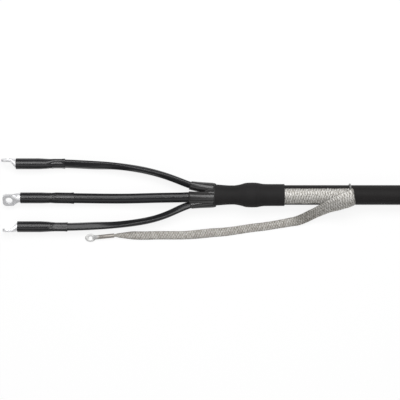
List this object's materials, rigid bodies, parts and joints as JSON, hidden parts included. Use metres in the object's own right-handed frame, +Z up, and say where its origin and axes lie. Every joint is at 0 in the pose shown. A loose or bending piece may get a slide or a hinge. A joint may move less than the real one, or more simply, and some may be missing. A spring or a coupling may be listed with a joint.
{
  "type": "cable termination",
  "caption": "Heat-shrink cable termination: breakout boot, sleeved cores with sealed tubular lugs, and a flat earth braid folded back to a ring lug.",
  "frame": {"origin": "on the bench under the middle of the part, without the earth braid and its lug", "axes": "+X along the cable to its cut end, +Y across the part in the plane of the bench, +Z up from the bench"},
  "size_m": [0.752, 0.1554, 0.0483],
  "materials": {
    "sheath": "satin black PVC",
    "armour": "galvanised",
    "bedding": "matt",
    "conductor": "sawn",
    "insulation": "matt",
    "core_tube": "glossy",
    "sleeve": "glossy",
    "boot": "matt",
    "mastic": "tacky",
    "wrap": "matt",
    "lug": "satin tin",
    "braid": "tinned wire"
  },
  "bodies": {
    "root": {"cable_sheath": "sheath", "armour_tape_outer": "armour", "armour_tape_inner": "armour", "bedding": "bedding", "conductor_upper": "conductor", "conductor_middle": "conductor", "conductor_lower": "conductor", "insulation_upper": "insulation", "insulation_middle": "insulation", "insulation_lower": "insulation", "core_tube_upper": "core_tube", "core_tube_middle": "core_tube", "core_tube_lower": "core_tube", "lug_upper": "lug", "lug_middle": "lug", "lug_lower": "lug", "lug_sleeve_upper": "sleeve", "lug_sleeve_middle": "sleeve", "lug_sleeve_lower": "sleeve", "breakout_boot": "boot", "crotch_mastic": "mastic", "spring_wrap": "wrap", "roll_spring": "armour", "braid_root": "braid", "binding_wire": "lug", "earth_braid": "braid", "earth_lug": "lug"}
  },
  "joints": []
}
